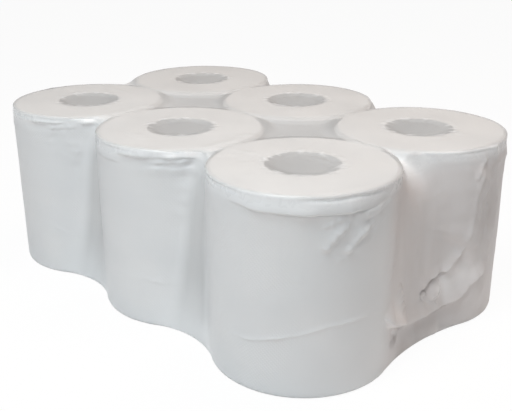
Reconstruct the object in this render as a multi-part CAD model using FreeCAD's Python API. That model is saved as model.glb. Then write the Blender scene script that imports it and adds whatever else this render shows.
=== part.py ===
"""Pack of six centrefeed paper rolls, three by two, held together by one skin of clear shrink film.

Millimetres, +Z up. The origin is the middle of the pack on the surface that it stands on. X runs along the
three rolls of a row, and Y across the two rows.
"""
import FreeCAD, Part
import math
import os

# ---- Driving dimensions ----

# A wound paper roll. It has no board core: the bore is what the winding shaft leaves.
roll_diameter = 180.0
roll_height = 193.0
bore_diameter = 72.0
roll_arris = 3.5          # how far the wound paper's outer corners are pressed back
roll_gap = 0.3            # between neighbouring rolls

# The film. Its wall stands for film about a tenth as thick.
film_wall = 0.5
film_clearance = 0.3      # between the paper and the film

# Radius of the hollow web between two neighbouring rolls, just under the rim, at half height and at the foot.
# The webs stand out like a tent at the foot. At the rim they are tight along the front side and on the right-hand
# end, and looser at the back and on the left. Each follows its curve in so many chords.
side_web = {"rim": 12.0, "middle": 38.0, "foot": 95.0, "chords": 12}
back_web = {"rim": 35.0, "middle": 38.0, "foot": 95.0, "chords": 12}
end_web = {"rim": 22.0, "middle": 95.0, "foot": 250.0, "chords": 15}
left_end_web = {"rim": 95.0, "middle": 95.0, "foot": 250.0, "chords": 15}

# Where the film isn't backed by paper on the ends of the rolls, it sinks a little.
bore_dish_depth = 2.5
bore_dish_edge = 2.0      # the dish starts this far inside the bore's wall
bore_dish_run = 6.0       # width of the dish's sloping border
gap_dimple_depth = 3.5
gap_dimple_edge = 0.9     # the dimple starts this far outside the paper
gap_dimple_run = 6.0

# The seam that closes the film's sleeve, along the front side. Heights are above the base.
seam_height = 52.0
seam_rise = 23.0          # how much higher it runs into the gathered end
seam_width = 2.4
seam_proud = 0.9
seam_start = math.radians(-150)   # headings on the first and last roll, from the right-hand side
seam_end = math.radians(-8)
seam_climb = math.radians(75)     # the turn round the last roll over which it rises
seam_step = math.radians(10)

# The gathered mouth, where the sleeve's open end shrank shut.
mouth_height = 48.0
mouth_offset = 22.0       # to one side of the web's middle
mouth_ring_radius = 8.0
mouth_ring_bar = 2.4
lip_width = 17.0
lip_proud = 6.0
brow_width = 9.0          # the fold above the mouth
brow_proud = 4.0
pleat_width = 4.0
pleat_proud = 1.6
pleat_length = 30.0
pleat_count = 7
fold_root = 3.0           # how deep a fold is rooted in the film it rises from

# How finely the rest follows its curves, and how far the webs' facets run on round the rolls.
lobe_margin = math.radians(1)
wall_bands = 4
rim_bands = 2
dish_sides = 20
star_chords = 6
ring_sides = 12

# ---- Derived values ----

roll_radius = roll_diameter / 2
bore_radius = bore_diameter / 2
pitch = roll_diameter + roll_gap
half_pitch = pitch / 2
film_seat = film_wall + film_clearance
film_radius = roll_radius + film_seat
film_rim = roll_arris + film_seat
pack_height = roll_height + 2 * film_seat

# Roll centres, anticlockwise from the left end of the front row, with the way out of the pack at the web that
# follows each, and that web's sizes.
AROUND = [
    ("roll_front_left", (-pitch, -half_pitch), (0, -1), side_web),
    ("roll_front_middle", (0, -half_pitch), (0, -1), side_web),
    ("roll_front_right", (pitch, -half_pitch), (1, 0), end_web),
    ("roll_back_right", (pitch, half_pitch), (0, 1), back_web),
    ("roll_back_middle", (0, half_pitch), (0, 1), back_web),
    ("roll_back_left", (-pitch, half_pitch), (-1, 0), left_end_web),
]


def vec(x, y, z=0.0):
    return FreeCAD.Vector(x, y, z)


def on_circle(centre, radius, angle, z=0.0):
    return vec(centre.x + radius * math.cos(angle), centre.y + radius * math.sin(angle), z)


def heading(centre, point):
    return math.atan2(point.y - centre.y, point.x - centre.x)


def turn(start, end):
    """The anticlockwise turn from one heading to another."""
    return (end - start) % (2 * math.pi)


# ---- The film's outline ----

def web_radius(web, z):
    """The web opens quickly under the rim, and flares again towards the foot."""
    drop = min(max(1 - z / pack_height, 0.0), 1.0)
    opening = (web["middle"] - web["rim"]) * (1 - (1 - drop) ** 4)
    flare = (web["foot"] - web["middle"]) * drop ** 4
    return web["rim"] + opening + flare


def web_arc(index, z, inset):
    """The web after roll `index`: its arc's centre and radius, and its headings from the two roll centres."""
    name, first, out, web = AROUND[index]
    second = AROUND[(index + 1) % len(AROUND)][1]
    first = vec(*first)
    second = vec(*second)
    radius = web_radius(web, z) + inset
    reach = math.sqrt((film_radius - inset + radius) ** 2 - half_pitch ** 2)
    centre = (first + second) * 0.5 + vec(*out) * reach
    return first, second, centre, radius


def lobe_limits(index):
    """Headings between which the film lies on roll `index` at every height, whatever the webs do."""
    first, roll, centre, radius = web_arc(index - 1, 0.0, 0.0)
    start = heading(roll, centre) + lobe_margin
    roll, second, centre, radius = web_arc(index, 0.0, 0.0)
    end = heading(roll, centre) - lobe_margin
    return start, start + turn(start, end)


def web_points(index, z, inset):
    """Points along the film from one lobe's end to the next lobe's start: roll, hollow web, roll."""
    first, second, centre, radius = web_arc(index, z, inset)
    lobe = film_radius - inset
    leave = lobe_limits(index)[1]
    land = lobe_limits((index + 1) % len(AROUND))[0]
    on_first = turn(leave, heading(first, centre))
    on_second = turn(heading(second, centre), land)
    away = heading(centre, first)
    swing = turn(heading(centre, second), away)
    lengths = (on_first * lobe, swing * radius, on_second * lobe)
    chords = AROUND[index][3]["chords"]
    points = []
    for step in range(chords + 1):
        run = sum(lengths) * step / chords
        if run <= lengths[0]:
            points.append(on_circle(first, lobe, leave + run / lobe, z))
        elif run <= lengths[0] + lengths[1]:
            points.append(on_circle(centre, radius, away - (run - lengths[0]) / radius, z))
        else:
            left = sum(lengths) - run
            points.append(on_circle(second, lobe, land - left / lobe, z))
    return points


def lobe_arc(index, z, inset):
    """The stretch that lies on roll `index` at every height."""
    centre = vec(*AROUND[index][1])
    start, end = lobe_limits(index)
    points = [on_circle(centre, film_radius - inset, angle, z) for angle in (start, (start + end) / 2, end)]
    return Part.Arc(*points).toShape()


def film_outline(z, inset):
    edges = []
    for index in range(len(AROUND)):
        edges.append(lobe_arc(index, z, inset))
        points = web_points(index, z, inset)
        edges += [Part.makeLine(a, b) for a, b in zip(points, points[1:])]
    return Part.Face(Part.Wire(edges))


def triangle(a, b, c):
    return Part.Face(Part.makePolygon([a, b, c, a]))


def between(low, high):
    """Flat facets between two lists of points of the same length."""
    faces = []
    for a, b, c, d in zip(low, low[1:], high, high[1:]):
        faces += [triangle(a, b, d), triangle(a, d, c)]
    return faces


def closed(faces):
    shell = Part.makeShell(faces)
    shell.sewShape()
    solid = Part.makeSolid(shell)
    if solid.Volume < 0:
        solid.reverse()
    return solid.removeSplitter()


def facetted(rings):
    """A solid of flat facets through closed rings of points, with a flat face at each end."""
    rings = [ring + ring[:1] for ring in rings]
    faces = [Part.Face(Part.makePolygon(ring)) for ring in (rings[0], rings[-1])]
    for low, high in zip(rings, rings[1:]):
        faces += between(low, high)
    return closed(faces)


def film_body(offset, bands):
    """The closed lobed body `offset` inside the film's outer face, with its upper rim in so many bands."""
    levels = [(offset, offset)]
    for band in range(1, wall_bands + 1):
        share = (1 - math.cos(math.pi * band / wall_bands)) / 2
        levels.append((offset + (pack_height - film_rim - offset) * share, offset))
    rim = film_rim - offset
    for band in range(1, bands + 1):
        angle = math.pi / 2 * band / bands
        levels.append((pack_height - film_rim + rim * math.sin(angle), offset + rim * (1 - math.cos(angle))))
    faces = [film_outline(*levels[0]), film_outline(*levels[-1])]
    for index in range(len(AROUND)):
        arcs = [Part.Wire([lobe_arc(index, z, inset)]) for z, inset in levels]
        faces += Part.makeLoft(arcs, False, True).Faces
        rows = [web_points(index, z, inset) for z, inset in levels]
        for low, high in zip(rows, rows[1:]):
            faces += between(low, high)
    return closed(faces)


# ---- Where the film isn't backed by paper ----

def ring(centre, radius, z, sides):
    return [on_circle(centre, radius, 2 * math.pi * step / sides, z) for step in range(sides)]


def bore_dish(centre, down):
    """What is cut away above the film over one bore."""
    edge = bore_radius - bore_dish_edge
    top = pack_height - down
    levels = [(edge, top + 1), (edge, top), (edge - bore_dish_run, top - bore_dish_depth)]
    return facetted([ring(centre, radius, z, dish_sides) for radius, z in levels])


def gap_star(middle, spread, z):
    """The four-cornered gap between four rolls, `spread` outside the paper."""
    radius = half_pitch + spread
    half_turn = math.acos(half_pitch / radius)
    corners = []
    for quarter in range(4):
        bearing = math.pi / 4 + quarter * math.pi / 2
        roll = on_circle(middle, half_pitch * math.sqrt(2), bearing)
        for step in range(star_chords):
            swing = (math.pi / 4 - half_turn) * (1 - 2 * step / star_chords)
            corners.append(on_circle(roll, radius, bearing + math.pi + swing, z))
    return corners


def gap_dimple(middle, down):
    top = pack_height - down
    levels = [(gap_dimple_edge, top + 1), (gap_dimple_edge, top)]
    levels.append((gap_dimple_edge + gap_dimple_run, top - gap_dimple_depth))
    return facetted([gap_star(middle, spread, z) for spread, z in levels])


def hollows(down):
    """Dishes over the bores and dimples over the gaps, in the top of the body `down` inside the film."""
    cuts = [bore_dish(vec(*centre), down) for name, centre, out, web in AROUND]
    return cuts + [gap_dimple(vec(side * half_pitch, 0), down) for side in (-1, 1)]


# ---- Folds ----

def fold(path, width, proud, lean=0.0):
    """A tapering three-sided fold along `path`, a list of points on the film with its outward direction.

    `lean` moves the fold's edge from its middle (0) to its right (1) or left (-1), looking along the path
    from outside. It fades out at both ends.
    """
    sections = []
    last = len(path) - 1
    for step, (point, out) in enumerate(path):
        ahead = path[min(step + 1, last)][0] - path[max(step - 1, 0)][0]
        right = ahead.cross(out).normalize()
        full = max(math.sin(math.pi * step / last), 0.03) ** 0.5
        half = width / 2 * full
        root = point - out * fold_root
        edge = point + right * (lean * half) + out * (proud * full)
        sections.append([root - right * half, root + right * half, edge])
    return facetted(sections)


def stand_off(along, z, web):
    """How far the film stands out from the line of roll centres, `along` it from the web's middle."""
    radius = web_radius(web, z)
    if abs(along) < half_pitch * radius / (film_radius + radius):
        return math.sqrt((film_radius + radius) ** 2 - half_pitch ** 2) - math.sqrt(radius ** 2 - along ** 2)
    return math.sqrt(film_radius ** 2 - (half_pitch - abs(along)) ** 2)


def on_end(across, z):
    """A point of the film on the right-hand end, and the film's outward direction there."""
    step = 0.5
    point = vec(pitch + stand_off(across, z, end_web), across, z)
    slope_across = (stand_off(across + step, z, end_web) - stand_off(across - step, z, end_web)) / (2 * step)
    slope_up = (stand_off(across, z + step, end_web) - stand_off(across, z - step, end_web)) / (2 * step)
    return point, vec(1, -slope_across, -slope_up).normalize()


def from_mouth(across, up):
    return on_end(mouth_offset + across, mouth_height + up)


def near_mouth(places):
    """Places on the film, from shares of a roll's radius to the side of the mouth and above it."""
    return [from_mouth(across * roll_radius, up * roll_radius) for across, up in places]


def mouth_ring():
    """The hard little ring into which the film is drawn, with a funnel in its middle."""
    middle = vec(0, 0)
    inside = mouth_ring_radius - mouth_ring_bar
    outside = mouth_ring_radius + 2 * mouth_ring_bar
    knot = facetted([ring(middle, outside, -fold_root, ring_sides),
                     ring(middle, mouth_ring_radius, mouth_ring_bar, ring_sides)])
    knot = knot.cut(facetted([ring(middle, inside / 2, 0, ring_sides),
                              ring(middle, mouth_ring_radius, 2 * mouth_ring_bar, ring_sides)]))
    point, out = from_mouth(0, 0)
    knot.Placement = FreeCAD.Placement(point, FreeCAD.Rotation(vec(0, 0, 1), out))
    return knot


def pleat(bearing):
    """A straight pleat that runs out from the ring."""
    path = []
    for step in range(4):
        run = mouth_ring_radius + pleat_length * step / 3
        path.append(from_mouth(run * math.cos(bearing), run * math.sin(bearing)))
    return fold(path, pleat_width, pleat_proud)


def gathered_mouth():
    """Lip, brow, ring and pleats on the right-hand end."""
    lip = [(-1.08, 0.10), (-0.91, -0.01), (-0.76, -0.11), (-0.50, -0.19), (-0.22, -0.23), (0.06, -0.22),
           (0.29, -0.20), (0.46, -0.14), (0.53, -0.03), (0.62, 0.09), (0.78, 0.21), (0.92, 0.30)]
    brow = [(-0.13, 0.03), (-0.09, 0.10), (-0.02, 0.16), (0.09, 0.19), (0.22, 0.19), (0.31, 0.26),
            (0.38, 0.34), (0.42, 0.44), (0.44, 0.58)]
    parts = [fold(near_mouth(lip), lip_width, lip_proud, 0.9)]
    parts.append(fold(near_mouth(brow), brow_width, brow_proud, -0.6))
    parts.append(mouth_ring())
    for step in range(pleat_count):
        parts.append(pleat(2 * math.pi * (step + 0.5) / pleat_count))
    return parts


def seam_path():
    """Along the front rolls and webs, rising round the last roll into the gathered end."""
    stretches = [list(lobe_limits(index)) for index in range(3)]
    stretches[0] = [seam_start, stretches[0][1] - 2 * math.pi]
    stretches[2][1] = seam_end
    points = []
    for index, (first, last) in enumerate(stretches):
        centre = vec(*AROUND[index][1])
        count = math.ceil((last - first) / seam_step)
        for step in range(count + 1):
            angle = first + (last - first) * step / count
            climb = min(max((angle + math.pi / 2) / seam_climb, 0), 1) if index == 2 else 0
            points.append(on_circle(centre, film_radius, angle, seam_height + seam_rise * climb))
        if index < 2:
            points += web_points(index, seam_height, 0.0)[1:-1]
    path = []
    for step, point in enumerate(points):
        ahead = points[min(step + 1, len(points) - 1)] - points[max(step - 1, 0)]
        path.append((point, vec(ahead.y, -ahead.x).normalize()))
    return path


def shrink_film():
    outer = film_body(0.0, rim_bands)
    folds = gathered_mouth()
    for part in gathered_mouth():
        part.rotate(vec(0, 0), vec(0, 0, 1), 180)
        folds.append(part)
    folds.append(fold(seam_path(), seam_width, seam_proud))
    outer = outer.fuse(folds)
    outer = outer.cut(hollows(0.0))
    inner = film_body(film_wall, 1).cut(hollows(film_wall))
    return outer.cut(inner)


# ---- The paper ----

def paper_roll(centre):
    """An annulus of wound paper with its upper outer corner pressed back."""
    outline = [vec(bore_radius, 0, 0), vec(roll_radius, 0, 0), vec(roll_radius, 0, roll_height - roll_arris)]
    outline += [vec(roll_radius - roll_arris, 0, roll_height), vec(bore_radius, 0, roll_height)]
    face = Part.Face(Part.makePolygon(outline + outline[:1]))
    roll = face.revolve(vec(0, 0), vec(0, 0, 1), 360)
    roll.translate(centre + vec(0, 0, film_seat))
    return roll


def main():
    os.makedirs("parts", exist_ok=True)
    shrink_film().exportStep("parts/shrink_film.step")
    for name, centre, out, web in AROUND:
        paper_roll(vec(*centre)).exportStep("parts/" + name + ".step")


main()
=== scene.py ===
"""A pack of six centrefeed paper rolls, held together by one skin of shrink film.

Metres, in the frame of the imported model: +Z up, X along the three rolls of a row, and -Y the front.
"""
import math

import bmesh
import bpy
import numpy as np
from mathutils import Matrix, Vector, noise


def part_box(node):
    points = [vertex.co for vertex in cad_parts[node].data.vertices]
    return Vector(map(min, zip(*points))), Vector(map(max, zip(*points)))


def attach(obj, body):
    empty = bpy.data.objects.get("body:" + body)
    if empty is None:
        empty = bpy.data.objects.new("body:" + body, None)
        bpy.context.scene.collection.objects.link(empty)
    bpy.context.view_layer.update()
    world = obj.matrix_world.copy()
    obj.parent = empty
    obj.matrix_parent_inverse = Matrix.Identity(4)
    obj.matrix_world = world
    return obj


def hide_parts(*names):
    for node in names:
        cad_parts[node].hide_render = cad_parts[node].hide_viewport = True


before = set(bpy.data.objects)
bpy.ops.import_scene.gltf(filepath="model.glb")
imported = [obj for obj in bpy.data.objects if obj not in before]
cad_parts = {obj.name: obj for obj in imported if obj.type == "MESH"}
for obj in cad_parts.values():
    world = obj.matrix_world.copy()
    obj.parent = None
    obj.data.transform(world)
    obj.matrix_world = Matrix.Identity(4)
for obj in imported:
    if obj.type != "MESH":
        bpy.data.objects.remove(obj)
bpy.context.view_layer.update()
noise.seed_set(3)   # without a seed, noise_vector starts from the clock

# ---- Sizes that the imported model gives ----

ROLLS = ["roll_front_left", "roll_front_middle", "roll_front_right",
         "roll_back_right", "roll_back_middle", "roll_back_left"]


def roll_centre(name):
    low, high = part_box(name)
    return Vector(((low.x + high.x) / 2, (low.y + high.y) / 2))


roll_low, roll_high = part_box("roll_front_middle")
roll_radius = (roll_high.x - roll_low.x) / 2
pack_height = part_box("shrink_film")[1].z
film_radius = roll_radius + pack_height - roll_high.z
half_pitch = -roll_centre("roll_front_middle").y
pitch = 2 * half_pitch

# ---- Sizes of the film ----

# Radius of the hollow web between two neighbouring rolls, just under the rim, at half height and at the foot.
side_web = {"rim": 0.012, "middle": 0.038, "foot": 0.095}
back_web = {"rim": 0.035, "middle": 0.038, "foot": 0.095}
end_web = {"rim": 0.022, "middle": 0.150, "foot": 0.250}
left_end_web = {"rim": 0.095, "middle": 0.095, "foot": 0.250}

roll_arris = 0.0035  # how far the rolls' outer corners are pressed back
rim_round = 0.0020   # radius of the film where it turns over a rim
foot_round = 0.003   # and where it turns under the pack
bore_radius = 0.036
bore_sag = 0.0022    # how far the film sinks over a bore,
gap_sag = 0.0045     # over a gap between four rolls,
web_sag = 0.0065     # and at the top of a web
end_begins = 0.04    # the short ends begin this far beyond the middles of the last rolls
# The film is also painted a little lighter down to band_depth under the rims.
band_depth = 0.014   # the film is drawn tight and shines this far down from the rims

clear_haze = 0.50    # on the ends of the rolls
pleat_haze = 0.90    # in the pleats on the edges of the bores
gap_haze = 0.62      # over the gaps between four rolls
wall_haze = 0.94     # round the sides
web_haze = 0.66      # on the webs between the rolls

side_steps = 66      # along the film from one roll to the next, on a long side
end_steps = 116      # the same on a short end,
end_crowding = 0.30  # where they are closer together in its middle
rim_steps = 6        # rows round a rim
# From each height up, the film's rows are so far apart.
ROWS = [(0.0, 0.0026), (0.174, 0.0012), (0.187, 0.0006)]
# How near to a fold edges are halved, if a side of it is so narrow.
REFINED = [(0.0036, 0.0020), (0.0017, 0.00135)]
shortest_edge = 0.0007   # an edge no longer than this isn't halved
chord_slack = 0.00003    # a corner nearer than this to the circle round a roll belongs on it

# Each roll's place on the film's outline: the heading at which one stretch ends and the next begins, the way
# out of the web that follows it, that web, and how many steps the stretch takes.
OUTLINE = [(225, (0, -1), side_web, side_steps), (270, (0, -1), side_web, side_steps),
           (315, (1, 0), end_web, end_steps), (45, (0, 1), back_web, side_steps),
           (90, (0, 1), back_web, side_steps), (135, (-1, 0), left_end_web, end_steps)]

CENTRES = [roll_centre(name) for name in ROLLS]


def ease(value):
    """0 below 0, 1 above 1, and a smooth slope between."""
    value = np.clip(value, 0, 1)
    return value * value * (3 - 2 * value)


# ---- The film's outline at a height ----

def web_radius(web, z):
    """It opens fast under the rim, and again towards the foot."""
    drop = min(max(1 - z / pack_height, 0.0), 1.0)
    opening = (web["middle"] - web["rim"]) * (1 - (1 - drop) ** 4)
    return web["rim"] + opening + (web["foot"] - web["middle"]) * drop ** 4


def heading(centre, point):
    return math.atan2(point.y - centre.y, point.x - centre.x)


def turn(start, end):
    """The angle from one heading round to the other, to the left."""
    return (end - start) % (2 * math.pi)


def on_circle(centre, radius, angle):
    return centre + Vector((math.cos(angle), math.sin(angle))) * radius


def crowded(share, amount):
    """The share with its steps drawn together in the middle."""
    return share + amount * math.sin(2 * math.pi * share) / (2 * math.pi)


def stretch(index, z, inset):
    """Points along the film from the middle of one roll's lobe to just short of the next one's."""
    mark, out, web, steps = OUTLINE[index]
    first = CENTRES[index]
    second = CENTRES[(index + 1) % 6]
    radius = web_radius(web, z) + inset
    lobe = film_radius - inset
    reach = math.sqrt((lobe + radius) ** 2 - half_pitch ** 2)
    centre = (first + second) / 2 + Vector(out) * reach
    start = math.radians(mark)
    end = math.radians(OUTLINE[(index + 1) % 6][0])
    on_first = turn(start, heading(first, centre)) * lobe
    on_second = turn(heading(second, centre), end) * lobe
    away = heading(centre, first)
    on_web = turn(heading(centre, second), away) * radius
    total = on_first + on_web + on_second
    points = []
    for step in range(steps):
        run = total * crowded(step / steps, end_crowding if steps == end_steps else 0)
        if run < on_first:
            points.append(on_circle(first, lobe, start + run / lobe))
        elif run < on_first + on_web:
            points.append(on_circle(centre, radius, away - (run - on_first) / radius))
        else:
            points.append(on_circle(second, lobe, end - (total - run) / lobe))
    return points


def outline(z, inset):
    points = []
    for index in range(6):
        points += stretch(index, z, inset)
    return points


def levels():
    """Heights of the film's rows with how far each is drawn in, from the base up to the rim."""
    rows = [(0, 2 * foot_round), (0, foot_round), (foot_round * 0.3, foot_round * 0.3), (foot_round, 0)]
    z = foot_round
    while z < pack_height - rim_round - ROWS[-1][1]:
        z += [step for start, step in ROWS if z >= start][-1]
        rows.append((z, 0))
    for step in range(1, rim_steps + 1):
        angle = math.radians(90 * step / rim_steps)
        rows.append((pack_height - rim_round * (1 - math.sin(angle)), rim_round * (1 - math.cos(angle))))
    return rows


# ---- Where things lie on the film ----

def end_place(across, z):
    """A place on the film of the right-hand end."""
    radius = web_radius(end_web, z)
    reach = film_radius + radius
    if abs(across) < half_pitch * radius / reach:
        out = math.sqrt(reach ** 2 - half_pitch ** 2) - math.sqrt(radius ** 2 - across ** 2)
    else:
        out = math.sqrt(film_radius ** 2 - (half_pitch - abs(across)) ** 2)
    return Vector((pitch + out, across, z))


def on_end(places):
    """Places on the right-hand end, from pairs of millimetres across and up."""
    return [end_place(across / 1000, up / 1000) for across, up in places]


def on_roll(name, places):
    """Places on the film round one roll, from pairs of a heading in degrees and millimetres up."""
    centre = roll_centre(name)
    return [on_circle(centre, film_radius, math.radians(angle)).to_3d() + Vector((0, 0, up / 1000))
            for angle, up in places]


def on_top(places):
    return [Vector((x / 1000, y / 1000, pack_height)) for x, y in places]


# ---- The film's folds ----

path_slack = 0.002     # how far a fold's path may leave the film and still count as on it
path_wander = 0.0016   # how unevenly it runs
wide_fold = 0.012      # a fold wider than this is even, and stays on the walls
wide_uneven = 0.12     # how much the height of a wide fold changes along it,
fine_uneven = 0.45     # and of a fine one
left_height = 0.7      # the share of their height that the right-hand end's folds have on the left-hand end
left_narrowest = 1.4   # and their narrowest side there, in millimetres

# The share of its length over which a fold rises at its start, and again dies away at its end.
end_fade = 0.15
roll_fade = 0.25
top_fade = 0.2
pucker_fade = 0.3
seam_fade = 0.1
last_seam_fade = 0.12

# The folds of the short ends are laid out for a rounder web. On this flatter one, the low ones in its middle
# lie further left and higher, by less and less towards its sides and upwards. All are in millimetres.
flat_aside = 5.5
flat_lift = 4.0
flat_edge = 85    # further out than this to either side nothing moves,
flat_side = 40    # and inside of it the move grows over this width
flat_top = 100    # above this nothing moves,
flat_rise = 15    # and below it the move grows over this height

# Each fold has its places, how far it stands out in millimetres, and how wide it is on its two sides: the
# left side and then the right side, seen from outside, of someone who walks along it. On a fold that runs to
# the right, the left side is the upper one.
END_FOLDS = [
    # The lower lip of the gathered mouth, and the hollow under it.
    ([(-74, 57), (-62, 47), (-50, 40), (-33, 32), (-16, 28), (2, 26), (24, 28.5), (44, 28), (57, 30.5),
      (64, 34.5), (73, 49), (92, 63), (104, 74)], 5.2, 11, 1.1),
    ([(-58, 38), (-33, 25), (2, 19), (24, 22), (44, 21), (57, 23), (70, 30)], -1.0, 4, 10),
    ([(-54, 40), (-42, 34), (-33, 29.8), (-20, 26.4)], -1.8, 1.3, 1.6),
    ([(12, 24.5), (28, 26), (44, 25.4), (57, 27.8), (65, 32.5)], -2.4, 1.3, 1.6),
    # The brow over it.
    ([(8, 50), (13, 58.6), (18.5, 63), (26, 64.2), (36, 66.4), (44, 64), (50, 70), (57, 78.4), (60, 85),
      (62, 93)], 3.4, 7.5, 1.0),
    ([(12, 41), (9, 46), (10, 52), (13, 57), (18, 61), (26, 62.3), (36, 64.3), (43, 62.2), (49, 68)],
     -2.2, 1.1, 1.3),
    # The pouch at its left and the tuck beside it.
    ([(-74, 64), (-62, 50), (-49, 42), (-36, 37), (-20, 32)], 5.6, 14, 1.1),
    ([(-24, 47), (-26.5, 56), (-30, 66), (-35, 80)], 2.4, 10, 1.8),
    ([(-50, 31), (-42, 24), (-34, 20)], -2.4, 5, 6),
    # Long folds drawn up from the mouth to the rim.
    ([(59, 84), (63, 100), (66, 118), (65, 134), (66, 150), (71, 164), (79, 176)], 4.6, 40, 17),
    ([(60, 92), (64, 112), (65, 130), (67, 152), (72, 166), (81, 180)], 1.1, 4, 1.4),
    ([(98, 74), (91, 92), (87, 110), (83, 124), (85, 140), (91, 156)], 1.5, 5, 2.0),
    ([(62, 162), (67, 171), (72, 179), (79, 184)], 1.0, 3, 1.4),
    ([(74, 116), (71, 130), (75, 144), (80, 154), (78, 166)], 1.0, 1.6, 3),
    ([(86, 128), (80, 142), (79, 152), (84, 166)], 0.9, 3, 1.6),
    ([(103, 92), (108, 120), (105, 150)], 0.9, 3, 6),
    ([(-66, 92), (-60, 120), (-64, 150)], 0.9, 6, 4),
    ([(-8, 84), (-3, 118), (-9, 156)], 0.8, 7, 5),
    ([(28, 98), (31, 130), (26, 164)], 0.8, 5, 7),
    # The rim of the eye in the middle of the mouth.
    ([(13.2, 52.5), (14.2, 50), (14, 47)], 1.5, 1.5, 1.3),
    ([(22, 43.5), (26, 44), (30, 45.5)], 1.3, 1.5, 1.5),
]

# Where the film is crumpled: the roll, the heading, the millimetres up, and how far round it reaches.
CRUMPLES = [("roll_front_right", -22, 160, 24), ("roll_front_right", -2, 172, 20),
            ("roll_front_middle", -38, 184, 20), ("roll_front_left", -55, 176, 26),
            ("roll_front_left", -150, 180, 24), ("roll_back_right", 20, 176, 26),
            ("roll_back_middle", 110, 180, 24), ("roll_back_left", 160, 178, 26)]
crumple_depth = 0.0011

# The folds round the rolls, by heading and millimetres up.
ROLL_FOLDS = [
    # A groove under the rim, and the light band over it.
    ("roll_front_right", [(-95, 182.2), (-82, 181), (-71, 180.5), (-59, 180.2), (-43, 180), (-27, 179.6),
                          (-20.5, 179.4), (-10, 180), (2, 182)], 2.6, 8.5, 1.1),
    ("roll_front_right", [(-80, 177.6), (-71, 178.4), (-59, 178), (-43, 177.8), (-27, 177),
                          (-14, 177.6)], 1.2, 1.1, 4),
    ("roll_front_right", [(-114, 191.8), (-98, 191.6), (-82, 192)], -0.8, 1.5, 2.0),
    ("roll_front_right", [(-50, 192), (-30, 191.6), (-12, 191.4), (4, 191.8)], -0.9, 1.5, 2.0),
    ("roll_front_right", [(-19, 174.8), (-10, 177), (-2.3, 178.3), (4, 179.5), (16, 181.5)], 1.1, 1.5, 3),
    # Soft folds that slant up to it.
    ("roll_front_right", [(-36, 142), (-31, 152), (-27, 160), (-20, 168)], 2.3, 6, 1.8),
    ("roll_front_right", [(-25, 138), (-19, 148), (-13, 157), (-2, 166)], 2.3, 4.5, 1.8),
    ("roll_front_right", [(-27.5, 134), (-24, 137), (-20, 138)], 0.5, 2.4, 1.8),
    ("roll_front_right", [(-8, 146), (0, 160), (12, 172)], 0.9, 4, 2.4),
    ("roll_front_right", [(-38, 166), (-30, 170), (-22, 175)], 0.8, 3, 1.6),
    ("roll_front_right", [(-14, 170), (-6, 174), (4, 176)], 0.8, 3, 1.6),
    ("roll_front_right", [(-58, 118), (-52, 119.5), (-45, 119)], 0.25, 2.4, 1.8),
    # Where the film turns over the rims it lies loose, and shines.
    ("roll_front_middle", [(-88, 189.5), (-70, 188.4), (-58, 189.4), (-46, 188.2), (-36, 189),
                           (-22, 187)], 1.9, 5, 1.5),
    ("roll_front_middle", [(-54, 194.2), (-44, 193.6), (-34, 193.8), (-22, 194.2)], -1.9, 4.5, 4.5),
    ("roll_front_left", [(-48, 194.2), (-36, 193.8), (-26, 194.2)], -1.6, 4, 4),
    ("roll_front_middle", [(-60, 181.5), (-46, 182.8), (-36, 184.2), (-24, 186)], 0.8, 3, 1.6),
    ("roll_front_middle", [(-66, 176.8), (-54, 176), (-41, 175.6), (-31, 177.4), (-22, 181)], 0.7, 1.8, 6),
    ("roll_front_middle", [(-42, 116), (-37, 140), (-36, 152), (-39, 172)], 1.2, 10, 6),
    ("roll_front_middle", [(-70, 56), (-60, 53), (-50, 50)], 0.35, 2.2, 1.6),
    ("roll_front_middle", [(-115, 180), (-95, 178), (-78, 179.5)], 0.8, 6, 1.6),
    ("roll_front_left", [(-84, 189), (-74, 187.8), (-62, 189), (-50, 188.6)], 1.6, 5, 1.6),
    ("roll_front_left", [(-42, 189), (-34, 187.6), (-24, 187.8), (-16, 188.6)], 1.6, 5, 1.6),
    ("roll_front_left", [(-66, 181.4), (-58, 182.2), (-48, 182.6), (-40, 184)], 0.7, 4, 1.6),
    ("roll_front_left", [(-86, 163), (-66, 165.4), (-50, 165), (-34, 168)], 0.3, 4, 2.4),
    ("roll_front_left", [(-80, 148), (-66, 150.6), (-54, 149.6), (-38, 151)], 0.35, 5, 2.6),
    ("roll_front_left", [(-47, 136), (-41, 158), (-43, 174)], 1.2, 10, 6),
    ("roll_front_left", [(-68, 59), (-60, 56), (-54, 53.5)], 0.4, 2.2, 1.6),
    ("roll_front_left", [(-170, 176), (-140, 170), (-105, 172)], 0.9, 7, 1.6),
    ("roll_back_right", [(-10, 176), (20, 174), (60, 177), (85, 181)], 1.0, 7, 1.6),
    ("roll_back_middle", [(55, 180), (85, 177), (125, 179)], 0.9, 7, 1.6),
    ("roll_back_left", [(95, 178), (130, 175), (165, 178)], 1.0, 7, 1.6),
    ("roll_back_right", [(35, 58), (60, 52), (95, 49)], 0.7, 4, 1.5),
]

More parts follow.
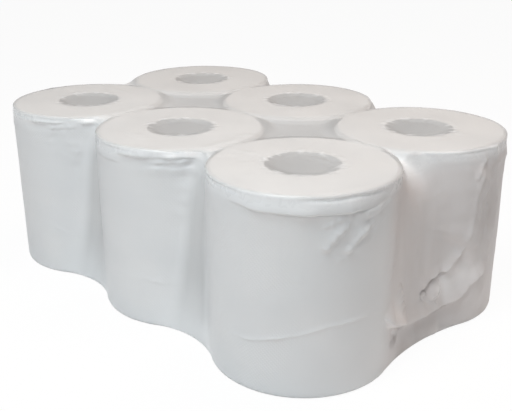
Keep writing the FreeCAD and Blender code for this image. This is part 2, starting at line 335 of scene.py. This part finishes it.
# The folds on the tops, by millimetres along X and Y.
TOP_FOLDS = [
    ([(83, -132), (84, -110), (84, -86), (77, -52)], 1.5, 6, 1.2),
    ([(-88, -128), (-93, -100), (-97, -73), (-101, -44)], 1.1, 6, 1.3),
    ([(215, 5), (200, -2), (182, -4), (160, 0), (138, 3)], 1.0, 5, 1.2),
    ([(159, -74), (167, -68), (175, -63), (184, -66), (193, -67), (206, -72)], 1.3, 1.6, 4.5),
    ([(95, 52), (92, 80), (90, 112)], 0.9, 5, 1.4),
    ([(-92, 50), (-89, 85), (-90, 118)], 0.9, 5, 1.4),
    ([(-40, 2), (-10, -2), (30, 1), (44, 3)], 0.8, 5, 1.4),
    ([(104, -132), (113, -127), (124, -119)], 0.7, 3, 1.2),
    ([(104, -112), (120, -106), (136, -98)], 0.6, 3, 1.2),
    ([(138, -134), (144, -126), (150, -117)], 0.6, 1.2, 3),
    ([(168, -160), (171, -152), (176, -146)], 0.5, 1.2, 2.5),
    ([(-20, -150), (2, -144), (22, -148)], 0.5, 3, 1.4),
    ([(-206, -40), (-188, -34), (-168, -38)], 0.6, 3, 1.4),
    ([(218, 60), (228, 84), (224, 108)], 0.6, 3, 1.4),
]

# Patches of painted light on the gathered ends, and one of painted shade at the far side of each: millimetres
# across and up, how far round it reaches, and how much lighter it is painted.
END_LIGHT_PATCHES = [(34, 55, 15, 0.24), (60, 62, 16, 0.12), (-46, 56, 13, 0.12), (84, 120, 42, -0.13)]

# Little puckers across the rims of the bores: the roll, and their headings.
PUCKERS = [("roll_front_right", (158, 128, 96, 62, 40, 18, -12)), ("roll_front_middle", (150, 35, -5)),
           ("roll_back_right", (170, 196, 60)), ("roll_back_middle", (20, 140)),
           ("roll_front_left", (15, 165)), ("roll_back_left", (40,))]

pucker = (1.1, 2.4, 1.1)   # its height, and the widths of its sides, in millimetres
# How far out from the bore's axis its path runs, and how far round in degrees.
PUCKER_PATH = [(0.030, 0), (0.037, 5), (0.044, 4)]

seam_height = 0.052
seam_rise = 0.023            # how much higher it runs when it has come round the last roll
seam_turn = 75               # and over how many degrees it rises
seam_from = 90               # the step of the left-hand end that it starts from
seam_to = 24                 # the step of the right-hand end that it stops at
seam = (0.16, 2.6, 2.0)      # its height and its sides, in millimetres
last_seam = (0.62, 1.9, 1.0)   # what the stretch round the last roll adds


def seam_path():
    """Along the front of the pack, rising round the last roll into the gathered end."""
    places = stretch(5, seam_height, 0)[seam_from:] + stretch(0, seam_height, 0) + stretch(1, seam_height, 0)
    places += stretch(2, seam_height, 0)[:seam_to]
    path = []
    for place in [place.to_3d() for place in places]:
        climb = 0
        if place.x > pitch:
            climb = ease((heading(CENTRES[2], place) + math.pi / 2) / math.radians(seam_turn))
        wander = 0.0014 * noise.noise(place * 28) + 0.0009 * noise.noise(place * 130)
        path.append(Vector((place.x, place.y, seam_height + seam_rise * float(climb) + wander)))
    return path


def rounded(path):
    """The path with its corners cut, and a little unevenness."""
    for again in range(3):
        corners = [path[0]]
        for a, b in zip(path, path[1:]):
            corners += [a.lerp(b, 0.25), a.lerp(b, 0.75)]
        path = corners + [path[-1]]
    return np.array([tuple(place + path_wander * noise.noise_vector(place * 60)) for place in path])


def on_flat_web(across, up):
    """Where a place laid out for the rounder web lies on this one, to the nearest half millimetre."""
    share = min(1, max(0, (flat_edge - abs(across)) / flat_side))
    share *= min(1, max(0, (flat_top - up) / flat_rise))
    return round(2 * (across - flat_aside * share)) / 2, round(2 * (up + flat_lift * share)) / 2


def folds():
    """Every fold as its path, its height, the widths of its two sides, and how soon it fades out."""
    made = []
    half_turn = Matrix.Rotation(math.pi, 3, "Z")
    for places, height, left, right in END_FOLDS:
        path = on_end([on_flat_web(*place) for place in places])
        made.append((rounded(path), height, left, right, end_fade))
        made.append((rounded([half_turn @ place for place in path]), left_height * height,
                     max(left, left_narrowest), max(right, left_narrowest), end_fade))
    for name, places, height, left, right in ROLL_FOLDS:
        made.append((rounded(on_roll(name, places)), height, left, right, roll_fade))
    for places, height, left, right in TOP_FOLDS:
        made.append((rounded(on_top(places)), height, left, right, top_fade))
    for name, headings in PUCKERS:
        centre = roll_centre(name)
        for angle in headings:
            ends = [on_circle(centre, radius, math.radians(angle + skew)).to_3d()
                    + Vector((0, 0, pack_height)) for radius, skew in PUCKER_PATH]
            made.append((rounded(ends), *pucker, pucker_fade))
    path = seam_path()
    last = [place for place in path if place.x > pitch]
    made.append((np.array([tuple(place) for place in path]), *seam, seam_fade))
    made.append((np.array([tuple(place) for place in last]), *last_seam, last_seam_fade))
    return [(path, height / 1000, left / 1000, right / 1000, fade)
            for path, height, left, right, fade in made]


def nearby(points, path, reach):
    """Which points are in the path's box with `reach` round it."""
    return np.all((points > path.min(axis=0) - reach) & (points < path.max(axis=0) + reach), axis=1)


def along_path(points, path):
    """For each point: the way to it from the path, the path's direction there, and the share passed."""
    lengths = np.linalg.norm(np.diff(path, axis=0), axis=1)
    starts = np.concatenate([[0], np.cumsum(lengths)])
    best = np.full(len(points), 1e9)
    offsets = np.zeros((len(points), 3))
    directions = np.zeros((len(points), 3))
    share = np.zeros(len(points))
    for step, length in enumerate(lengths):
        ahead = (path[step + 1] - path[step]) / length
        offset = points - path[step]
        run = np.clip(offset @ ahead, 0, length)
        offset = offset - run[:, None] * ahead
        away = np.linalg.norm(offset, axis=1)
        nearer = away < best
        best[nearer] = away[nearer]
        offsets[nearer] = offset[nearer]
        directions[nearer] = ahead
        share[nearer] = ((starts[step] + run) / starts[-1])[nearer]
    return offsets, directions, share


def refine(bm, reach, finest):
    """Halves the skin's edges within `reach` of every fold with a side narrower than `finest`.

    The folds close under the rim need none of it, because the rows are close together there.
    """
    edges = [edge for edge in bm.edges
             if edge.calc_length() > shortest_edge and max(vert.co.z for vert in edge.verts) > foot_round]
    middles = np.array([tuple((edge.verts[0].co + edge.verts[1].co) / 2) for edge in edges])
    wanted = np.zeros(len(edges), dtype=bool)
    for path, height, left, right, fade in FOLDS:
        if min(left, right) < finest and path[:, 2].min() < ROWS[-1][0]:
            near = np.flatnonzero(nearby(middles, path, reach))
            offsets = along_path(middles[near], path)[0]
            wanted[near[np.linalg.norm(offsets, axis=1) < reach]] = True
    bmesh.ops.subdivide_edges(bm, edges=[edge for edge, is_near in zip(edges, wanted) if is_near], cuts=1,
                              use_grid_fill=True)
    bmesh.ops.triangulate(bm, faces=[face for face in bm.faces if 4 < len(face.verts) < 20])


def make_round(bm):
    """Moves the corners that refining left on a chord of the circle round a roll out to that circle."""
    for vert in bm.verts:
        if foot_round < vert.co.z < pack_height - rim_round:
            centre = min(CENTRES, key=lambda middle: (vert.co.xy - middle).length)
            away = vert.co.xy - centre
            if abs(away.length - film_radius) < chord_slack:
                vert.co.xy = centre + away * (film_radius / away.length)


def fold(points, normals, path, height, left, right, fade):
    """How far one fold lifts each point."""
    lift = np.zeros(len(points))
    near = nearby(points, path, 3 * max(left, right))
    offsets, directions, share = along_path(points[near], path)
    side = np.einsum("ij,ij->i", np.cross(normals[near], directions), offsets)
    width = np.where(side > 0, left, right)
    depth = np.einsum("ij,ij->i", normals[near], offsets)
    across = np.linalg.norm(offsets - depth[:, None] * normals[near], axis=1)
    beyond = np.maximum(np.abs(depth) - path_slack, 0)
    shape = np.exp(-(across ** 2 + beyond ** 2) / width ** 2)
    amount = fine_uneven
    if max(left, right) > wide_fold:
        amount = wide_uneven
        shape *= 1 - np.abs(normals[near][:, 2])
    uneven = 1 + amount * np.sin(share * 19 + height * 9000) * np.sin(share * 7 + height * 4000)
    lift[near] = height * uneven * shape * ease(share / fade) * ease((1 - share) / fade)
    return lift


FOLDS = folds()


# ---- The film's skin ----

def top_place(rim, across, along):
    """A place inside the rim, a share `across` from left to right and `along` from front to back."""
    long_steps = 2 * side_steps
    right = long_steps + end_steps
    back = right + long_steps
    column = round(across * long_steps)
    row = round(along * end_steps)
    front_edge = rim[column]
    right_edge = rim[long_steps + row]
    back_edge = rim[back - column]
    left_edge = rim[-row]
    corners = (rim[0] * (1 - across) + rim[long_steps] * across) * (1 - along)
    corners += (rim[back] * (1 - across) + rim[right] * across) * along
    between = front_edge * (1 - along) + back_edge * along + left_edge * (1 - across) + right_edge * across
    return between - corners


def film_skin():
    """The closed skin before it is sculpted."""
    rows = levels()
    rings = [outline(z, inset) for z, inset in rows]
    count = len(rings[0])
    bm = bmesh.new()
    bmesh.ops.create_grid(bm, x_segments=count, y_segments=len(rows) - 1, size=1)
    for vert in bm.verts:
        column = round((vert.co.x + 1) / 2 * count) % count
        row = round((vert.co.y + 1) / 2 * (len(rows) - 1))
        vert.co = rings[row][column].to_3d() + Vector((0, 0, rows[row][0]))
    rim = rings[-1]
    wall = set(bm.verts)
    bmesh.ops.create_grid(bm, x_segments=2 * side_steps, y_segments=end_steps, size=1)
    for vert in bm.verts:
        if vert not in wall:
            place = top_place(rim, (vert.co.x + 1) / 2, (vert.co.y + 1) / 2)
            vert.co = place.to_3d() + Vector((0, 0, pack_height))
    bmesh.ops.remove_doubles(bm, verts=bm.verts, dist=1e-6)
    bmesh.ops.holes_fill(bm, edges=[edge for edge in bm.edges if edge.is_boundary], sides=0)
    bmesh.ops.recalc_face_normals(bm, faces=bm.faces)
    for reach, finest in REFINED:
        refine(bm, reach, finest)
    make_round(bm)
    for face in bm.faces:
        face.smooth = len(face.verts) <= 4
    mesh = bpy.data.meshes.new("shrink_skin")
    bm.to_mesh(mesh)
    bm.free()
    return mesh


# ---- Sculpting the film ----

def noise_at(points, stretch_by, seed):
    """Smooth noise between -1 and 1 at each point, after the point is scaled by `stretch_by`."""
    shift = Vector((seed * 17.3, seed * -9.1, seed * 4.7))
    scaled = points * np.array(stretch_by)
    return np.array([noise.noise(Vector(point) + shift) for point in scaled])


def off_axis(points):
    """How far each point is from the axis of the nearest roll."""
    return np.min([np.hypot(points[:, 0] - centre.x, points[:, 1] - centre.y) for centre in CENTRES], axis=0)


def on_this_end(points, side):
    """Which points are on the right-hand end, for a side of 1, or the left-hand end, for one of -1."""
    return points[:, 0] * side > pitch + end_begins


def tight_band(points, edge):
    """1 just under the rims, where the film is drawn tight, and 0 on the tops and lower down."""
    under = pack_height - points[:, 2]
    return ease((band_depth - under) / 0.006) * ease(under / edge)


mouth = end_place(0.0180, 0.0525)


def gathered_eye(points):
    """How far the film stands out round the eye of a gathered end, where its edge shrank to a point."""
    across, up = points[:, 1] - mouth.y, points[:, 2] - mouth.z
    across = np.where(across > 0, across / 2, across)
    away = np.hypot(across, up)
    bearing = np.arctan2(up, across)
    lift = 0.0062 * np.exp(-(away / 0.0078) ** 2)
    pleats = np.maximum(np.cos(bearing * 11 + 6 * away / 0.03), 0) ** 3
    return lift + 0.0004 * pleats * ease((away - 0.010) / 0.006) * ease((0.044 - away) / 0.03)


def sculpt(points, normals):
    """How far each point of the skin is moved along its normal."""
    up = points[:, 2]
    slack = off_axis(points) - film_radius
    wall = 1 - np.abs(normals[:, 2])
    web = ease((slack + 0.0005) / 0.010)
    near_rim = ease((up - 0.135) / 0.050)

    # Level ripples, a broad unevenness, upright ripples of the webs, and an unevenness of the tops.
    lift = wall * (0.00010 + 0.00042 * near_rim) * noise_at(points, (9, 9, 120), 1)
    lift += wall * 0.0005 * noise_at(points, (16, 16, 22), 2)
    lift += wall * web * 0.0016 * noise_at(points, (60, 60, 7), 3)
    lift += wall * web * 0.0009 * noise_at(points, (110, 110, 14), 4)
    lift += (1 - wall) * 0.00025 * noise_at(points, (40, 40, 1), 5)

    # Ridges and narrower grooves where it is crumpled.
    ridges = (1 - np.abs(noise_at(points, (62, 62, 34), 12))) ** 4
    ridges -= 0.6 * (1 - np.abs(noise_at(points, (95, 95, 60), 13))) ** 6
    for name, angle, height, reach in CRUMPLES:
        spot = on_roll(name, [(angle, height)])[0]
        away = np.linalg.norm(points - np.array(spot), axis=1) / (reach / 1000)
        lift += wall * crumple_depth * ridges * np.exp(-away ** 2)

    # Just below the rims the film is drawn in here and there.
    drawn_in = ease(0.45 + 1.3 * noise_at(points, (24, 24, 0), 8)) * (1 - web)
    lift -= drawn_in * 0.0007 * np.exp(-((pack_height - up - 0.0036) / 0.0016) ** 2)

    # The gathered ends: the eye, what is rough round it, and the crinkled film beyond it.
    for side in (1, -1):
        swap = np.array([side, side, 1])
        end = on_this_end(points, side)
        there = points[end] * swap
        rough = ease((0.115 - np.abs(there[:, 1] - 0.01)) / 0.05) * ease((0.150 - there[:, 2]) / 0.05)
        moved = gathered_eye(there)
        moved += rough * 0.0014 * noise_at(there, (18, 30, 30), 6)
        moved += rough * 0.0006 * noise_at(there, (60, 75, 75), 7)
        far = ease((there[:, 1] - 0.045) / 0.03) * ease((0.110 - there[:, 1]) / 0.02) * wall[end]
        moved += far * 0.0030 * noise_at(there, (30, 48, 26), 9)
        moved += far * 0.0026 * np.abs(noise_at(there, (60, 85, 45), 10))
        lift[end] += moved

    for one in FOLDS:
        lift += fold(points, normals, *one)
    return lift


def room(points):
    """How far the film at each point may sink before it meets the side of a roll."""
    z = points[:, 2]
    into = np.clip(z - roll_high.z + roll_arris, 0, roll_arris)
    free = off_axis(points) - roll_radius + roll_arris - np.sqrt(roll_arris ** 2 - into ** 2) - 0.0002
    return np.where(z < roll_high.z, np.maximum(free, 0), 1)


def sag(points):
    """How far the film sinks where no paper backs it, just under the tops of the rolls."""
    x, y, z = points.T
    nearest = off_axis(points)
    near_top = ease((z - pack_height + 0.055) / 0.045)
    outside = np.maximum(ease((np.abs(y) - half_pitch) / 0.025), ease((np.abs(x) - pitch) / 0.025))
    down = gap_sag * ease((nearest - roll_radius + 0.004) / 0.020)
    loose = np.where(x < -pitch, 0.3, 1.0)
    down += web_sag * loose * ease((nearest - roll_radius - 0.0005) / 0.009) * outside
    ragged = 0.0016 * noise_at(points, (75, 75, 1), 11) * (np.abs(nearest - bore_radius) < 0.012)
    down += bore_sag * ease((bore_radius - 0.001 - nearest + ragged) / 0.008) * (z > pack_height - 0.001)
    return down * near_top


def haziness(points, normals):
    """How much the film hides what lies behind it: it is clearest on the ends of the rolls."""
    x, y, z = points.T
    away = off_axis(points)
    outside = np.maximum(ease((np.abs(y) - half_pitch) / 0.03), ease((np.abs(x) - pitch) / 0.03))
    upright = ease((1 - np.abs(normals[:, 2])) / 0.7)
    gap = ease((away - roll_radius) / 0.012)
    on_top = clear_haze + (gap_haze - clear_haze) * gap
    on_top += (wall_haze - on_top) * gap * outside
    # Small pleats whiten it here and there on the edge of a bore.
    pleated = ease((noise_at(points, (110, 110, 1), 14) - 0.02) / 0.25)
    on_top += (pleat_haze - on_top) * (pleated * np.exp(-((away - bore_radius) / 0.0032) ** 2))
    clearer = 1 - 0.8 * np.maximum(ease((0.075 - z) / 0.075), ease((x - pitch - 0.03) / 0.03))
    on_side = wall_haze + (web_haze - wall_haze) * clearer * ease((away - film_radius - 0.0003) / 0.008)
    return on_top + (on_side - on_top) * upright


def backing(points):
    """Where the film lies tight on the side of a roll, so that the paper's pattern shows."""
    x, y, z = points.T
    slack = off_axis(points) - film_radius
    tight = ease((0.002 - slack) / 0.002)
    tight *= ease((pitch + 0.070 - np.abs(x)) / 0.02)
    tight *= ease((0.182 - z) / 0.01)
    return tight * (0.3 + 0.7 * ease((np.abs(x) - 0.08) / 0.04))


def painted_end_light(points):
    """How much lighter each gathered end is painted: painted light on its lip and pouch, painted shade at its
    far side.
    """
    lighter = np.zeros(len(points))
    for side in (1, -1):
        for across, up, reach, share in END_LIGHT_PATCHES:
            away = np.hypot(points[:, 1] * side - across / 1000, points[:, 2] - up / 1000) / (reach / 1000)
            lighter += share * np.exp(-away ** 2) * on_this_end(points, side)
    return lighter


def painted_end_shade(points):
    """Painted shade over the short ends of the pack, greyer and warmer, and less of it where they are painted
    lighter.
    """
    across = points[:, 1] * np.sign(points[:, 0])
    on_end = ease((np.abs(points[:, 0]) - pitch - 0.03) / 0.02) * ease((across + 0.085) / 0.03)
    on_end *= ease((pack_height - 0.002 - points[:, 2]) / 0.02)
    return on_end * (1 - 2.5 * np.maximum(painted_end_light(points), 0))


def painted_lightness(points):
    """A brightness factor for the film's colour: painted light just under the rims, and the painted light and
    shade of the gathered ends.
    """
    return 1 + 0.05 * tight_band(points, 0.0015) + painted_end_light(points)


def tautness(points):
    """Where the film is stretched smooth and shines: under the rims, and in the eyes of the gathered ends."""
    taut = 0.55 * tight_band(points, 0.0008)
    for side in (1, -1):
        across, up = points[:, 1] * side - mouth.y, points[:, 2] - mouth.z
        taut += 1.2 * np.exp(-((across ** 2 + up ** 2) / 0.013 ** 2)) * on_this_end(points, side)
    return taut


def in_scene(name, data):
    """A new object that shows the data."""
    made = bpy.data.objects.new(name, data)
    bpy.context.collection.objects.link(made)
    return made


def shrink_film():
    """The film, with what the material needs to know about each place of it."""
    mesh = film_skin()
    count = len(mesh.vertices)
    points = np.zeros(count * 3)
    mesh.vertices.foreach_get("co", points)
    points = points.reshape(-1, 3)
    normals = np.zeros(count * 3)
    mesh.vertex_normals.foreach_get("vector", normals)
    normals = normals.reshape(-1, 3)
    lift = sculpt(points, normals)
    lift = np.maximum(lift, -room(points))
    lift[points[:, 2] < foot_round] = 0
    # The attribute gathered carries painted shade for the short ends, and white carries painted light and
    # shade.
    shades = {"haze": haziness(points, normals), "taut": tautness(points), "backed": backing(points),
              "gathered": painted_end_shade(points), "white": painted_lightness(points)}
    for name, values in shades.items():
        mesh.attributes.new(name, "FLOAT", "POINT").data.foreach_set("value", values)
    down = sag(points)
    points += normals * lift[:, None]
    points[:, 2] -= down
    mesh.vertices.foreach_set("co", points.ravel())
    mesh.update()
    return in_scene("film", mesh)


# ---- Materials ----

diamonds_round = 150   # pressed into the paper once round a roll
turn_shown = 0.0016    # the width of the turns that show on a roll's end

paper_shade = (0.79, 0.775, 0.755, 1)
paper_light = (0.85, 0.84, 0.825, 1)
film_shade = (0.82, 0.83, 0.84, 1)
film_light = (0.87, 0.875, 0.88, 1)
# Painted shade: the warm grey that the short ends are painted, darker than the film elsewhere.
film_end_shade = (0.79, 0.76, 0.755, 1)


def new_material(name):
    material = bpy.data.materials.new(name)
    material.use_nodes = True
    tree = material.node_tree
    return material, tree, tree.nodes["Principled BSDF"]


def add(tree, kind, inputs=None, **settings):
    """Adds a node, sets it, and links or fills its inputs."""
    made = tree.nodes.new(kind)
    for name, value in settings.items():
        setattr(made, name, value)
    for name, value in (inputs or {}).items():
        if isinstance(value, bpy.types.NodeSocket):
            tree.links.new(value, made.inputs[name])
        else:
            made.inputs[name].default_value = value
    return made


def maths(tree, operation, *values):
    return add(tree, "ShaderNodeMath", dict(enumerate(values)), operation=operation).outputs[0]


def ramp(tree, value, low, high, to_low=0.0, to_high=1.0):
    return add(tree, "ShaderNodeMapRange", {"Value": value, "From Min": low, "From Max": high,
                                            "To Min": to_low, "To Max": to_high}).outputs["Result"]


def cloud(tree, place, scale, detail, **more):
    """Noise that changes over the surface."""
    inputs = {"Vector": place, "Scale": scale, "Detail": detail, **more}
    return add(tree, "ShaderNodeTexNoise", inputs).outputs["Fac"]


def known(tree, name):
    """What the film's attribute says."""
    return add(tree, "ShaderNodeAttribute", attribute_name=name).outputs["Fac"]


def blend(tree, factor, first, second):
    """Between two colours."""
    inputs = {"Factor": factor, "A": first, "B": second}
    return add(tree, "ShaderNodeMix", inputs, data_type="RGBA").outputs["Result"]


def embossing_group():
    """Small diamonds pressed into the wound paper's side, and the edges of its turns on the ends."""
    group = bpy.data.node_groups.new("embossing", "ShaderNodeTree")
    group.interface.new_socket("Place", in_out="INPUT", socket_type="NodeSocketVector")
    group.interface.new_socket("Diamonds", in_out="OUTPUT", socket_type="NodeSocketFloat")
    group.interface.new_socket("Turns", in_out="OUTPUT", socket_type="NodeSocketFloat")
    enter = group.nodes.new("NodeGroupInput")
    leave = group.nodes.new("NodeGroupOutput")
    local = add(group, "ShaderNodeVectorMath", {0: enter.outputs["Place"], 1: (half_pitch, pitch, 1),
                                                2: (-half_pitch, 0, -1)}, operation="WRAP")
    parts = add(group, "ShaderNodeSeparateXYZ", {0: local.outputs[0]})
    x = parts.outputs["X"]
    y = maths(group, "SUBTRACT", parts.outputs["Y"], half_pitch)
    round_it = maths(group, "COSINE", maths(group, "MULTIPLY", maths(group, "ARCTAN2", y, x), diamonds_round))
    up_it = maths(group, "COSINE", maths(group, "MULTIPLY", parts.outputs["Z"], diamonds_round / roll_radius))
    diamonds = ramp(group, maths(group, "MULTIPLY", round_it, up_it), 0.1, 0.9)
    squares = maths(group, "ADD", maths(group, "MULTIPLY", x, x), maths(group, "MULTIPLY", y, y))
    radius = maths(group, "SQRT", squares)
    wavy = maths(group, "MULTIPLY_ADD", cloud(group, enter.outputs["Place"], 30.0, 2.0), 0.0012, radius)
    turns = maths(group, "SINE", maths(group, "MULTIPLY", wavy, 2 * math.pi / turn_shown))
    group.links.new(diamonds, leave.inputs["Diamonds"])
    group.links.new(maths(group, "MULTIPLY_ADD", turns, 0.5, 0.5), leave.inputs["Turns"])
    return group


def paper_material(embossing):
    """Soft white tissue with its embossing on the side, and the edges of its turns on the ends."""
    material, tree, shader = new_material("tissue_paper")
    place = add(tree, "ShaderNodeTexCoord").outputs["Object"]
    pressed = add(tree, "ShaderNodeGroup", {"Place": place}, node_tree=embossing)
    up = add(tree, "ShaderNodeSeparateXYZ", {0: place}).outputs["Z"]
    middle = (roll_low.z + roll_high.z) / 2
    on_side = maths(tree, "LESS_THAN", maths(tree, "ABSOLUTE", maths(tree, "SUBTRACT", up, middle)),
                    (roll_high.z - roll_low.z) / 2 - 0.0002)
    fibres = cloud(tree, place, 900.0, 3.0)
    side_height = maths(tree, "MULTIPLY_ADD", pressed.outputs["Diamonds"], 0.8,
                        maths(tree, "MULTIPLY", fibres, 0.25))
    end_height = maths(tree, "MULTIPLY_ADD", pressed.outputs["Turns"], 0.5,
                       maths(tree, "MULTIPLY", fibres, 0.4))
    heights = {"Factor": on_side, "A": end_height, "B": side_height}
    height = add(tree, "ShaderNodeMix", heights).outputs["Result"]
    bump = add(tree, "ShaderNodeBump", {"Height": height, "Strength": 0.6, "Distance": 0.0004})
    cloudy = ramp(tree, cloud(tree, place, 14.0, 3.0), 0.3, 0.7)
    tree.links.new(blend(tree, cloudy, paper_shade, paper_light), shader.inputs["Base Color"])
    tree.links.new(bump.outputs["Normal"], shader.inputs["Normal"])
    shader.inputs["Roughness"].default_value = 0.92
    return material


def film_material(embossing):
    """Thin film, hazy where it lies on paper, that takes on the paper's embossing in patches, with painted
    shade on its short ends and painted light under its rims.
    """
    material, tree, shader = new_material("shrink_film_skin")
    place = add(tree, "ShaderNodeTexCoord").outputs["Object"]
    pressed = add(tree, "ShaderNodeGroup", {"Place": place}, node_tree=embossing)
    patches = cloud(tree, place, 16.0, 1.0)
    crinkle = cloud(tree, place, 120.0, 4.0, Distortion=0.6)
    taut = known(tree, "taut")
    shown = maths(tree, "MULTIPLY", ramp(tree, patches, 0.42, 0.58), known(tree, "backed"))
    dots = maths(tree, "MULTIPLY", maths(tree, "MULTIPLY", pressed.outputs["Diamonds"], shown), 0.7)
    crinkled = maths(tree, "MULTIPLY", crinkle, ramp(tree, taut, 0.0, 0.6, 0.5, 0.06))
    bump = add(tree, "ShaderNodeBump", {"Height": maths(tree, "ADD", crinkled, dots), "Strength": 0.45,
                                        "Distance": 0.0006})
    tint = blend(tree, ramp(tree, patches, 0.3, 0.7), film_shade, film_light)
    # Painted shade on the short ends, by the attribute called gathered.
    tint = blend(tree, known(tree, "gathered"), tint, film_end_shade)
    # Painted light and shade: the colour is scaled by the attribute called white.
    tint = add(tree, "ShaderNodeVectorMath", {0: tint, "Scale": known(tree, "white")}, operation="SCALE")
    rough = ramp(tree, crinkle, 0.3, 0.7, 0.34, 0.46)
    tree.links.new(tint.outputs["Vector"], shader.inputs["Base Color"])
    tree.links.new(maths(tree, "MULTIPLY_ADD", taut, -0.24, rough), shader.inputs["Roughness"])
    tree.links.new(bump.outputs["Normal"], shader.inputs["Normal"])
    tree.links.new(known(tree, "haze"), shader.inputs["Alpha"])
    shader.inputs["IOR"].default_value = 1.5
    return material


# ---- The dressed pack ----

embossing = embossing_group()
paper = paper_material(embossing)
for name in ROLLS:
    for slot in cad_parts[name].material_slots:
        slot.material = paper

film = shrink_film()
film.data.materials.append(film_material(embossing))
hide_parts("shrink_film")
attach(film, "root")

# ---- Floor, light and camera ----

def lit_floor(name, colour, shown):
    """A pale surface that shows near white itself but keeps the shadows that fall on it."""
    material, tree, shader = new_material(name)
    shader.inputs["Base Color"].default_value = (*colour, 1)
    shader.inputs["Roughness"].default_value = 0.9
    path = add(tree, "ShaderNodeLightPath")
    seen = maths(tree, "MAXIMUM", path.outputs["Is Camera Ray"],
                 maths(tree, "MAXIMUM", path.outputs["Is Glossy Ray"], path.outputs["Is Transmission Ray"]))
    glow = add(tree, "ShaderNodeEmission", {"Color": (1, 1, 1, 1), "Strength": 1.0})
    mix = add(tree, "ShaderNodeMixShader", {0: maths(tree, "MULTIPLY", seen, shown), 1: shader.outputs[0],
                                            2: glow.outputs[0]})
    tree.links.new(mix.outputs[0], tree.nodes["Material Output"].inputs["Surface"])
    return material


bm = bmesh.new()
bmesh.ops.create_grid(bm, x_segments=1, y_segments=1, size=6)
bmesh.ops.translate(bm, verts=bm.verts, vec=(0, 0, -0.0005))
floor_mesh = bpy.data.meshes.new("floor")
bm.to_mesh(floor_mesh)
bm.free()
floor = in_scene("floor", floor_mesh)
floor_mesh.materials.append(lit_floor("floor_white", (0.95, 0.95, 0.95), 0.95))

world = bpy.data.worlds.new("studio")
bpy.context.scene.world = world
world.use_nodes = True
tree = world.node_tree
tree.nodes.clear()
path = add(tree, "ShaderNodeLightPath")
seen = maths(tree, "MAXIMUM", path.outputs["Is Camera Ray"], path.outputs["Is Transmission Ray"])
around = add(tree, "ShaderNodeBackground", {"Color": (1.0, 0.95, 0.93, 1), "Strength": 0.10})
white = add(tree, "ShaderNodeBackground", {"Color": (1, 1, 1, 1), "Strength": 1.0})
mix = add(tree, "ShaderNodeMixShader", {0: seen, 1: around.outputs[0], 2: white.outputs[0]})
tree.links.new(mix.outputs[0], add(tree, "ShaderNodeOutputWorld").inputs["Surface"])


def soft_light(name, place, power, colour):
    """A round lamp a metre across that looks at the pack."""
    data = bpy.data.lights.new(name, "AREA")
    data.shape = "DISK"
    data.size = 1.0
    data.energy = power
    data.color = colour
    light = in_scene(name, data)
    light.location = place
    light.rotation_mode = "QUATERNION"
    light.rotation_quaternion = (Vector((0, 0, 0.1)) - Vector(place)).to_track_quat("-Z", "Y")


soft_light("front_top", (0.3, -0.8, 1.7), 25, (0.905, 0.97, 1.0))
soft_light("back_top", (0.3, 0.5, 1.9), 14.5, (1.0, 0.80, 0.68))

camera_data = bpy.data.cameras.new("camera")
camera_data.lens = 55.51
camera_data.sensor_width = 36
camera = in_scene("camera", camera_data)
camera_place = (3.62001 * pitch, -3.32051 * pitch, 2.30257 * pitch)
azimuth, down, tilt = math.radians(46.493), math.radians(20.765), math.radians(-0.2706)
ahead = Vector((-math.sin(azimuth) * math.cos(down), math.cos(azimuth) * math.cos(down), -math.sin(down)))
right = Vector((math.cos(azimuth), math.sin(azimuth), 0))
up = right.cross(ahead)
right, up = right * math.cos(tilt) + up * math.sin(tilt), up * math.cos(tilt) - right * math.sin(tilt)
turned = Matrix((right, up, -ahead)).transposed().to_4x4()
camera.matrix_world = Matrix.Translation(camera_place) @ turned
bpy.context.scene.camera = camera
bpy.context.scene.view_settings.view_transform = "Standard"
